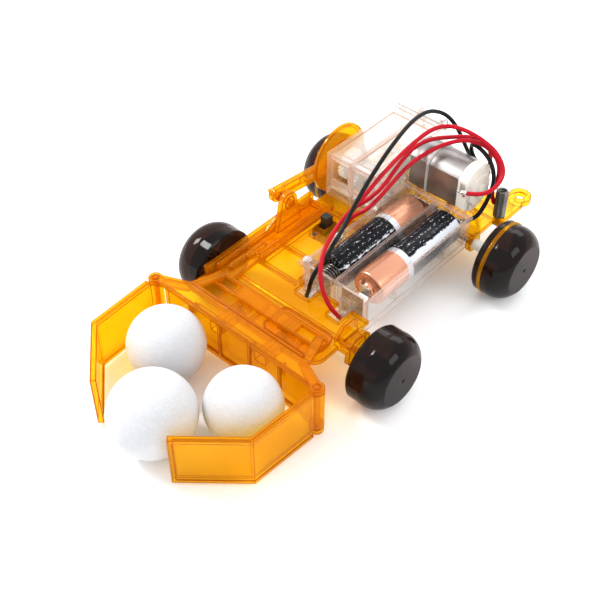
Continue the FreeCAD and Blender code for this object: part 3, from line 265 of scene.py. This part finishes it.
def opaque_plastic(name, low, high, roughness, grain, depth, subsurface=0.0):
    """Moulded solid plastic with slight clouding, a painted highlight along its edges and a fine grain."""
    n = Nodes(name)
    rounded, painted_edge_mask = n.edge(0.0003)
    colour = n.mix(n.noise(160.0, 4.0), low, high)
    # Edges are painted lighter: a painted highlight along them.
    colour = n.mix(n.math("MULTIPLY", painted_edge_mask, 0.5), colour, scaled(high, 1.35))
    rough = n.ramp(n.noise(500.0, 3.0), 0.3, 0.7, roughness, roughness + 0.15)
    grainy = n.bump(n.noise(grain, 3.0), 0.35, depth, rounded)
    body = n.add("BsdfPrincipled", {"Base Color": colour, "Roughness": rough, "Normal": grainy})
    body.inputs["Subsurface Weight"].default_value = subsurface
    body.inputs["Subsurface Radius"].default_value = (0.0012, 0.0010, 0.0008)
    return n.surface(body.outputs[0])


def metal(name, low, high, roughness, spread, brushed, depth, edge_radius=0.0002):
    """Bare metal with stretched brush marks, dull patches and rounded edges with a painted highlight."""
    n = Nodes(name)
    rounded, painted_edge_mask = n.edge(edge_radius)
    marks = n.noise(900.0, 4.0, 0.6, brushed)
    patches = n.noise(130.0, 3.0)
    colour = n.mix(n.ramp(patches, 0.35, 0.7), low, high)
    # Edges are painted brighter: a painted highlight along them.
    colour = n.mix(n.math("MULTIPLY", painted_edge_mask, 0.6), colour, scaled(high, 1.25))
    rough = n.ramp(marks, 0.3, 0.7, roughness, roughness + spread)
    scratched = n.bump(marks, 0.25, depth, rounded)
    body = n.add("BsdfPrincipled", {"Base Color": colour, "Roughness": rough, "Normal": scratched})
    body.inputs["Metallic"].default_value = 1.0
    return n.surface(body.outputs[0])


def wire_skin(name, low, high):
    """Soft, faintly uneven insulation with a low gloss."""
    n = Nodes(name)
    colour = n.mix(n.noise(220.0, 3.0), low, high)
    rough = n.ramp(n.noise(700.0, 3.0), 0.3, 0.7, 0.26, 0.42)
    marks = n.bump(n.noise(1500.0, 2.0), 0.2, 0.00006)
    body = n.add("BsdfPrincipled", {"Base Color": colour, "Roughness": rough, "Normal": marks})
    body.inputs["Specular IOR Level"].default_value = 0.14
    body.inputs["Coat Weight"].default_value = 0.02
    body.inputs["Coat Roughness"].default_value = 0.12
    return n.surface(body.outputs[0])


def foam_skin():
    """White bead foam: pressed cells of unequal size with fine dark seams between them."""
    n = Nodes("foam_skin")
    beads = {"Vector": n.point, "Scale": SKIN_BEADS}
    seam = n.ramp(n.add("TexVoronoi", beads, feature="DISTANCE_TO_EDGE").outputs["Distance"], 0.0, 0.09)
    tone = n.add("TexVoronoi", beads).outputs["Color"]
    shade = n.mix(n.ramp(tone, 0.0, 1.0), rgba(0.52, 0.52, 0.535), rgba(0.56, 0.56, 0.575))
    colour = n.mix(seam, rgba(0.49, 0.49, 0.505), shade)
    fine = n.noise(3000.0, 2.0)
    height = n.math("ADD", n.math("MULTIPLY", seam, 0.8), n.math("MULTIPLY", fine, 0.4))
    body = n.add("BsdfPrincipled", {"Base Color": colour, "Normal": n.bump(height, 0.2, 0.00008)})
    body.inputs["Roughness"].default_value = 0.7
    body.inputs["Subsurface Weight"].default_value = 0.35
    body.inputs["Subsurface Radius"].default_value = (0.004, 0.004, 0.004)
    body.inputs["Sheen Weight"].default_value = 0.1
    return n.surface(body.outputs[0])


def cell_wrap(name, axis_x, copper_from, copper_to, band_from, band_to, panel_angle, panel_half):
    """Printed sleeve of a dry cell: copper foil, silver band, black body with a pale panel and flecks."""
    n = Nodes(name)
    split = n.add("SeparateXYZ", {0: n.point})
    y = split.outputs["Y"]

    def between(low, high):
        above = n.math("GREATER_THAN", y, low)
        below = n.math("LESS_THAN", y, high)
        return n.math("MULTIPLY", above, below)

    copper = between(copper_from, copper_to)
    band = between(band_from, band_to)
    across = n.math("SUBTRACT", split.outputs["X"], axis_x)
    up = n.math("SUBTRACT", split.outputs["Z"], CELL_Z * MM)
    angle = n.math("ARCTAN2", across, up)
    away = n.math("ABSOLUTE", n.math("SUBTRACT", angle, panel_angle), 0.0)
    ragged = n.math("MULTIPLY", n.noise(900.0, 3.0, 0.7, (1.0, 0.6, 1.0)), 0.42)
    panel = n.ramp(n.math("ADD", away, ragged), panel_half, panel_half + 0.05, 1.0, 0.0)
    flecks = n.ramp(n.noise(2200.0, 2.0, 0.6, (1.0, 0.6, 1.0)), 0.60, 0.66)
    lines = n.math("SINE", n.math("MULTIPLY", angle, 20.0), 0.0)
    upper = n.ramp(n.math("ABSOLUTE", angle, 0.0), 0.75, 0.8, 1.0, 0.0)
    rows = n.math("MULTIPLY", n.ramp(lines, 0.1, 0.6), upper)
    print_mask = n.math("MAXIMUM", panel, n.math("MULTIPLY", flecks, rows))
    black = n.mix(n.noise(300.0, 3.0), rgba(0.002, 0.002, 0.003), rgba(0.006, 0.006, 0.009))
    sleeve = n.mix(print_mask, black, rgba(0.62, 0.64, 0.68))
    foil = n.mix(n.noise(260.0, 4.0, 0.6, (1.0, 0.15, 1.0)), rgba(0.58, 0.24, 0.14), rgba(0.76, 0.38, 0.24))
    colour = n.mix(copper, sleeve, foil)
    colour = n.mix(band, colour, rgba(0.70, 0.70, 0.74))
    shiny = n.math("MAXIMUM", copper, band)
    rough = n.ramp(n.noise(400.0, 3.0, 0.6, (1.0, 0.2, 1.0)), 0.3, 0.7, 0.20, 0.32)
    dents = n.bump(n.noise(160.0, 3.0), 0.15, 0.0003)
    body = n.add("BsdfPrincipled", {"Base Color": colour, "Roughness": rough, "Normal": dents,
                                    "Metallic": n.math("MULTIPLY", shiny, 0.9)})
    body.inputs["Specular IOR Level"].default_value = 0.12
    body.inputs["Coat Weight"].default_value = 0.03
    body.inputs["Coat Roughness"].default_value = 0.08
    return n.surface(body.outputs[0])


# ------------------------------------------------------------------ mesh helpers
def new_piece(name, mesh, material, body):
    piece = bpy.data.objects.new(name, mesh)
    bpy.context.scene.collection.objects.link(piece)
    mesh.materials.append(material)
    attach(piece, body)
    return piece


def smooth(mesh):
    for face in mesh.polygons:
        face.use_smooth = True


def lathe(name, profile, centre, axis, segments, material, body):
    """Closed turned form: profile is (distance along axis, radius), from pole to pole."""
    way = Vector(axis).normalized()
    side = way.orthogonal().normalized()
    other = way.cross(side)
    bm = bmesh.new()
    rings = []
    for along, radius in profile:
        middle = Vector(centre) + way * along
        if radius < 1e-7:
            rings.append([bm.verts.new(middle)])
            continue
        ring = []
        for k in range(segments):
            turn = 2 * math.pi * k / segments
            ring.append(bm.verts.new(middle + (side * math.cos(turn) + other * math.sin(turn)) * radius))
        rings.append(ring)
    for a, b in zip(rings, rings[1:]):
        for k in range(segments):
            j = (k + 1) % segments
            corners = [a[k % len(a)], a[j % len(a)], b[j % len(b)], b[k % len(b)]]
            unique = list(dict.fromkeys(corners))
            bm.faces.new(unique)
    bmesh.ops.recalc_face_normals(bm, faces=bm.faces)
    mesh = bpy.data.meshes.new(name)
    bm.to_mesh(mesh)
    bm.free()
    smooth(mesh)
    return new_piece(name, mesh, material, body)


# ------------------------------------------------------------------ wires
WIRES = {
    "wire_black_long": (0.1595, (
        (2.6, -36.4, 15.6), (4.3, -37.1, 19.5), (5.5, -37.6, 25.0), (5.9, -35.5, 29.4),
        (5.7, -28.5, 33.2), (5.0, -20.0, 38.4), (2.4, -9.1, 43.6), (-1.5, 5.9, 47.2),
        (-5.4, 22.5, 49.6), (-8.3, 36.8, 50.2), (-9.1, 45.8, 49.4), (-8.7, 52.4, 47.4),
        (-5.8, 58.4, 43.4), (-1.6, 60.6, 37.6), (3.4, 59.4, 32.6), (9.4, 56.6, 29.2),
        (15.4, 53.2, 27.8), (20.6, 49.8, 29.0), (22.6, 47.6, 32.4), (22.6, 47.6, 36.6))),
    "wire_red_feed": (0.1527, (
        (19.2, -36.4, 15.6), (19.1, -38.3, 18.4), (16.3, -39.5, 22.0), (11.9, -38.7, 27.8),
        (8.6, -35.8, 33.0), (5.5, -30.4, 36.6), (2.8, -21.4, 38.2), (0.6, -12.1, 38.9),
        (0.7, -4.3, 40.6), (0.0, 5.6, 43.6), (0.3, 15.9, 47.5), (1.0, 25.7, 50.5),
        (1.9, 35.4, 52.2), (5.4, 40.8, 53.2), (12.1, 43.2, 53.2), (20.2, 45.0, 51.0),
        (26.9, 46.2, 47.0), (32.1, 43.9, 42.0), (32.4, 38.1, 38.4), (30.0, 32.6, 36.95),
        (25.0, 29.8, 36.85))),
    "wire_red_motor": (0.0879, (
        (-9.6, 0.8, 22.0), (-8.2, 1.2, 28.6), (-1.2, 2.5, 35.6), (1.8, 8.4, 41.0),
        (0.2, 19.0, 44.2), (-0.9, 28.9, 45.9), (0.9, 37.2, 46.4), (5.6, 43.4, 46.2),
        (10.2, 48.6, 46.0), (15.4, 51.6, 45.6), (20.6, 50.4, 44.0), (22.6, 48.2, 40.8),
        (22.6, 47.8, 37.1))),
    "wire_red_spring": (0.0975, (
        (-7.6, -3.4, 22.0), (-5.6, -3.2, 28.0), (0.7, 1.8, 33.4), (1.2, 11.2, 37.4),
        (1.9, 22.9, 42.6), (5.6, 32.4, 46.4), (10.3, 39.5, 48.8), (15.8, 44.2, 49.4),
        (22.2, 47.0, 47.2), (27.5, 46.8, 42.8), (29.3, 44.8, 36.8), (27.6, 42.9, 30.6),
        (29.2, 44.5, 25.4))),
    "wire_black_short": (0.0558, (
        (21.2, 48.0, 36.85), (17.4, 48.1, 36.6), (14.0, 48.6, 38.8), (12.8, 48.4, 43.2),
        (15.6, 46.0, 46.4), (20.8, 45.0, 46.2), (25.8, 44.2, 43.2), (28.8, 42.6, 38.0),
        (29.2, 40.2, 32.4), (28.6, 38.2, 27.4), (27.8, 34.4, 23.0), (24.0, 31.6, 20.75))),
}


def make_wire(node, points, material):
    curve = bpy.data.curves.new(node + "_cord", "CURVE")
    curve.dimensions = "3D"
    curve.bevel_depth = WIRE_D / 2
    curve.bevel_resolution = 5
    curve.resolution_u = 10
    curve.use_fill_caps = True
    spline = curve.splines.new("NURBS")
    spline.points.add(len(points) - 1)
    for target, point in zip(spline.points, points):
        target.co = (*place(*point), 1.0)
    spline.order_u = 3
    spline.use_endpoint_u = True
    piece = bpy.data.objects.new(node + "_cord", curve)
    bpy.context.scene.collection.objects.link(piece)
    curve.materials.append(material)
    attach(piece, "base")
    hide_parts(node)


def make_wires():
    red = wire_skin("red_insulation", rgba(0.33, 0.002, 0.009), rgba(0.44, 0.004, 0.015))
    black = wire_skin("black_insulation", rgba(0.002, 0.002, 0.002), rgba(0.006, 0.006, 0.007))
    for node, (length, points) in WIRES.items():
        if "red" in node:
            make_wire(node, points, red)
        else:
            make_wire(node, points, black)


# ------------------------------------------------------------------ foam balls
def make_ball(node, name, body, material, seed):
    """Foam ball with slightly sunken seams between its pressed beads."""
    low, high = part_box(node)
    centre = (low + high) / 2
    radius = (high.z - low.z) / 2
    bm = bmesh.new()
    bmesh.ops.create_icosphere(bm, subdivisions=6, radius=1.0)
    for vert in bm.verts:
        way = vert.co.normalized()
        near = noise.voronoi(way * radius * BALL_BEADS + Vector((seed, 0, 0)))[0]
        seam = min(1.0, max(0.0, (near[1] - near[0]) / SEAM_WIDTH))
        wave = noise.noise(way * 2.3 + Vector((0, seed, 0)))
        sink = SEAM_DEPTH * (1.0 - seam) + WAVE_DEPTH * (0.5 + 0.5 * wave)
        vert.co = centre + way * (radius - sink)
    mesh = bpy.data.meshes.new(name)
    bm.to_mesh(mesh)
    bm.free()
    smooth(mesh)
    piece = new_piece(name, mesh, material, body)
    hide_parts(node)


def make_balls():
    skin = foam_skin()
    for k, letter in enumerate("abc", 1):
        make_ball(f"foam_ball_{k}", f"bead_ball_{k}", f"ball_{letter}", skin, 11.0 * k)


# ------------------------------------------------------------------ dry cells
def cell_profile(length, radius):
    """Turned profile from the flat end to the nub: sleeve lip, can shoulder, washer and cap."""
    lip = 0.25 * MM
    washer = length - 1.5 * MM
    return ((0.0, 0.0), (0.0, radius * 0.62), (0.15 * MM, radius * 0.66), (0.15 * MM, radius * 0.78),
            (0.0, radius * 0.81), (0.0, radius - 0.9 * MM), (0.12 * MM, radius - 0.45 * MM),
            (0.45 * MM, radius - 0.10 * MM), (0.8 * MM, radius), (length - 2.4 * MM, radius),
            (length - 2.0 * MM, radius - 0.08 * MM), (length - 1.62 * MM, radius - 0.40 * MM),
            (washer, radius - 0.9 * MM), (washer - lip, radius - 1.3 * MM),
            (washer - lip, 4.0 * MM), (length - 1.35 * MM, 3.6 * MM),
            (length - 1.3 * MM, 2.75 * MM), (length - 0.5 * MM, 2.6 * MM),
            (length - 0.12 * MM, 2.4 * MM), (length, 2.0 * MM), (length, 0.0))


def make_cell(node, name, nub_towards, material):
    low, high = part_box(node)
    radius = (high.x - low.x) / 2
    length = high.y - low.y
    start = low.y if nub_towards > 0 else high.y
    centre = Vector(((low.x + high.x) / 2, start, (low.z + high.z) / 2))
    piece = lathe(name, cell_profile(length, radius), centre, (0, nub_towards, 0), 96, material, "base")
    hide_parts(node)


def make_cells():
    low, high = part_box("battery_cell_left")
    length = high.y - low.y
    left_x = (low.x + high.x) / 2
    copper = high.y - COPPER_SHARE * length
    left = cell_wrap("cell_wrap_left", left_x, copper, high.y + 0.01, copper - BAND_SHARE * length, copper,
                     panel_angle=0.80, panel_half=0.22)
    make_cell("battery_cell_left", "dry_cell_left", 1, left)
    low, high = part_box("battery_cell_right")
    right_x = (low.x + high.x) / 2
    copper = low.y + COPPER_SHARE * length
    right = cell_wrap("cell_wrap_right", right_x, low.y - 0.01, copper, copper, copper + BAND_SHARE * length,
                      panel_angle=0.86, panel_half=0.40)
    make_cell("battery_cell_right", "dry_cell_right", -1, right)


# ------------------------------------------------------------------ small parts
def blob(name, centre, size, material, seed):
    """Lump of solder: a squashed and slightly uneven bead."""
    bm = bmesh.new()
    bmesh.ops.create_icosphere(bm, subdivisions=4, radius=1.0)
    for vert in bm.verts:
        way = vert.co.normalized()
        lump = 1.0 + LUMP_SHARE * noise.noise(way * 1.7 + Vector((seed, 0, 0)))
        vert.co = centre + Vector((way.x * size[0], way.y * size[1], way.z * size[2])) * lump
    mesh = bpy.data.meshes.new(name)
    bm.to_mesh(mesh)
    bm.free()
    smooth(mesh)
    piece = new_piece(name, mesh, material, "base")


def make_solder():
    tin = metal("solder", rgba(0.62, 0.62, 0.63), rgba(0.80, 0.80, 0.80),
                roughness=0.12, spread=0.12, brushed=(1.0, 1.0, 1.0), depth=0.00008)
    spots = (("motor_top", (22.6, 47.9, 37.2), (1.3, 1.2, 0.7)),
             ("motor_front", (23.9, 29.4, 37.2), (1.3, 1.1, 0.7)),
             ("deck_a", (-9.6, 0.8, 21.6), (1.1, 1.1, 0.8)),
             ("deck_b", (-7.6, -3.4, 21.6), (1.1, 1.1, 0.8)),
             ("near_left", (2.6, -36.3, 15.9), (1.0, 1.1, 0.6)),
             ("near_right", (19.2, -36.3, 15.9), (1.0, 1.1, 0.6)),
             ("bridge", (23.2, 31.4, 21.1), (0.9, 1.1, 0.5)))
    for k, (name, centre, size) in enumerate(spots):
        blob("solder_" + name, place(*centre), [s * MM for s in size], tin, 3.0 + k)


def make_polarity_dot():
    """Small red paint dot on the motor cap, domed at its middle and uneven at its rim."""
    paint = opaque_plastic("red_paint", rgba(0.60, 0.01, 0.02), rgba(0.75, 0.03, 0.04),
                           roughness=0.3, grain=900.0, depth=0.0001)
    low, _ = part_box("motor_end_cap")
    centre = Vector((place(DOT_X, 0, 0).x, low.y + 0.02 * MM, place(0, 0, DOT_Z).z))
    profile = ((0.0, 0.0), (0.0, DOT_RADIUS), (0.02 * MM, 0.66 * MM), (0.05 * MM, 0.5 * MM), (0.06 * MM, 0.0))
    lathe("polarity_dot", profile, centre, (0, -1, 0), 32, paint, "base")


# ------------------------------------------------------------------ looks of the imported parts
AMBER = ("chassis", "front_cover", "scoop_frame", "claw_left", "claw_right", "slider", "connecting_rod",
         "crank_disc", "tyre_bands", "claw_hinge_pins", "rod_pin")
WHEELS = ("front_wheel_left", "front_wheel_right", "rear_wheel_left", "rear_wheel_right")
SHELLS = ("gearbox_shell_left", "gearbox_shell_right")
GEARS = ("motor_pinion", "reduction_gear_first", "reduction_gear_second", "crank_gear", "rear_axle_gear")
MOTOR_STEEL = ("motor_can", "motor_magnets", "motor_armature")
BRIGHT_STEEL = ("gear_shafts", "crank_shaft", "motor_shaft", "front_axle", "rear_axle", "gearbox_screws",
                "scoop_screws", "battery_box_screws", "spring_terminal_post")
SPRINGS = ("spring_terminal", "contact_spring_near")
TINNED = ("deck_terminals", "motor_terminals", "switch_legs", "contact_near_left", "contact_near_right",
          "contact_bridge_far")


def dress(names, material):
    for name in names:
        for slot in NODES[name].material_slots:
            slot.material = material


def dress_packed_parts():
    dress(AMBER, amber_plastic())
    dress(("battery_box",), clear_plastic())
    dress(SHELLS, milky_plastic())
    dress(("motor_strap",), strap_plastic())
    dress(WHEELS, smoky_plastic())
    dress(GEARS, opaque_plastic("gear_plastic", rgba(0.80, 0.78, 0.72), rgba(0.88, 0.86, 0.82),
                                roughness=0.35, grain=700.0, depth=0.00008, subsurface=0.2))
    dress(("motor_end_cap", "axle_spacers"),
          opaque_plastic("cream_plastic", rgba(0.66, 0.62, 0.53), rgba(0.78, 0.75, 0.68),
                         roughness=0.38, grain=600.0, depth=0.0001, subsurface=0.25))
    dress(("switch_body", "switch_knob"),
          opaque_plastic("black_plastic", rgba(0.008, 0.008, 0.009), rgba(0.018, 0.018, 0.020),
                         roughness=0.3, grain=800.0, depth=0.0001))
    dress(MOTOR_STEEL, metal("motor_steel", rgba(0.26, 0.24, 0.23), rgba(0.38, 0.36, 0.35),
                             roughness=0.34, spread=0.12, brushed=(0.06, 1.0, 1.0), depth=0.00004,
                             edge_radius=0.0005))
    dress(BRIGHT_STEEL, metal("bright_steel", rgba(0.62, 0.61, 0.60), rgba(0.80, 0.79, 0.78),
                              roughness=0.14, spread=0.14, brushed=(0.2, 1.0, 1.0), depth=0.00004))
    dress(SPRINGS, metal("spring_steel", rgba(0.10, 0.095, 0.09), rgba(0.24, 0.23, 0.22),
                         roughness=0.10, spread=0.12, brushed=(1.0, 1.0, 0.3), depth=0.00003))
    dress(TINNED, metal("tinned_copper", rgba(0.62, 0.60, 0.56), rgba(0.82, 0.80, 0.76),
                        roughness=0.18, spread=0.16, brushed=(1.0, 0.4, 1.0), depth=0.00005))


# ------------------------------------------------------------------ stage and light
def make_floor():
    low, _ = CAD_BOX
    bm = bmesh.new()
    bmesh.ops.create_grid(bm, x_segments=8, y_segments=8, size=FLOOR_SIDE / 2)
    mesh = bpy.data.meshes.new("floor")
    bm.to_mesh(mesh)
    bm.free()
    floor = bpy.data.objects.new("floor", mesh)
    floor.location.z = low.z
    bpy.context.scene.collection.objects.link(floor)
    n = Nodes("floor_paper")
    colour = n.mix(n.noise(40.0, 3.0), rgba(0.93, 0.93, 0.93), rgba(0.96, 0.96, 0.96))
    body = n.add("BsdfPrincipled", {"Base Color": colour, "Normal": n.bump(n.noise(900.0), 0.05, 0.0002)})
    body.inputs["Roughness"].default_value = 0.85
    body.inputs["Specular IOR Level"].default_value = 0.2
    mesh.materials.append(n.surface(body.outputs[0]))


def area_light(name, location, target, size, power):
    data = bpy.data.lights.new(name, "AREA")
    data.shape = "RECTANGLE"
    data.size, data.size_y = size
    data.energy = power
    lamp = bpy.data.objects.new(name, data)
    lamp.location = location
    way = Vector(target) - Vector(location)
    lamp.rotation_mode = "QUATERNION"
    lamp.rotation_quaternion = way.to_track_quat("-Z", "Y")
    bpy.context.scene.collection.objects.link(lamp)


def make_lights():
    world = bpy.data.worlds.new("studio")
    bpy.context.scene.world = world
    world.use_nodes = True
    background = world.node_tree.nodes["Background"]
    background.inputs["Color"].default_value = WORLD_COLOUR
    background.inputs["Strength"].default_value = WORLD_STRENGTH
    for name, location, size, power in LAMPS:
        area_light(name, location, LIGHT_TARGET, size, power)
    bpy.context.scene.view_settings.view_transform = "Standard"


make_camera()
make_wires()
make_balls()
make_cells()
make_solder()
make_polarity_dot()
dress_packed_parts()
make_floor()
make_lights()
